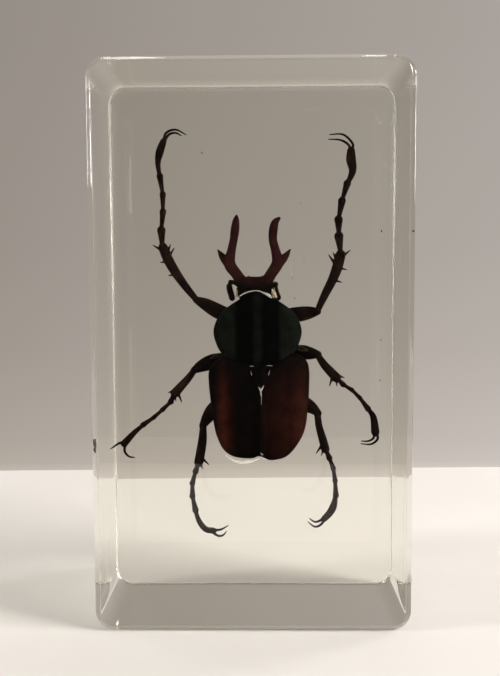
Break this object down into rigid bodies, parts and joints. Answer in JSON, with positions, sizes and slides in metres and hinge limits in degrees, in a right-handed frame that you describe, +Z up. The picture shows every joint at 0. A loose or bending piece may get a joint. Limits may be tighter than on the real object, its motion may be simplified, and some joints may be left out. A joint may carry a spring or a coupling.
{
  "type": "beetle specimen in clear resin block",
  "caption": "Upright clear resin block with a horned flower chafer beetle cast inside, its back facing the front face.",
  "frame": {"origin": "middle of the block's base, where it stands", "axes": "+Z up along the block's long side, the beetle's head up; -Y is the front, which the beetle's back faces; +X is the beetle's right side"},
  "size_m": [0.041, 0.025, 0.073],
  "materials": {
    "clear_resin": "clear cast resin, polished, faint warm tint",
    "black_cuticle": "glossy black with an olive tone",
    "horn_cuticle": "satin, very dark red-brown",
    "wing_cuticle": "satin, dark red-brown, blacker towards the midline"
  },
  "bodies": {
    "root": {"resin_front": "clear_resin", "resin_back": "clear_resin", "head": "horn_cuticle", "left_antenna": "black_cuticle", "right_antenna": "black_cuticle", "pronotum": "black_cuticle", "scutellum": "black_cuticle", "left_elytron": "wing_cuticle", "right_elytron": "wing_cuticle", "underside": "black_cuticle", "front_left_leg": "horn_cuticle", "front_right_leg": "horn_cuticle", "middle_left_leg": "horn_cuticle", "middle_right_leg": "horn_cuticle", "hind_left_leg": "horn_cuticle", "hind_right_leg": "horn_cuticle"}
  },
  "joints": []
}
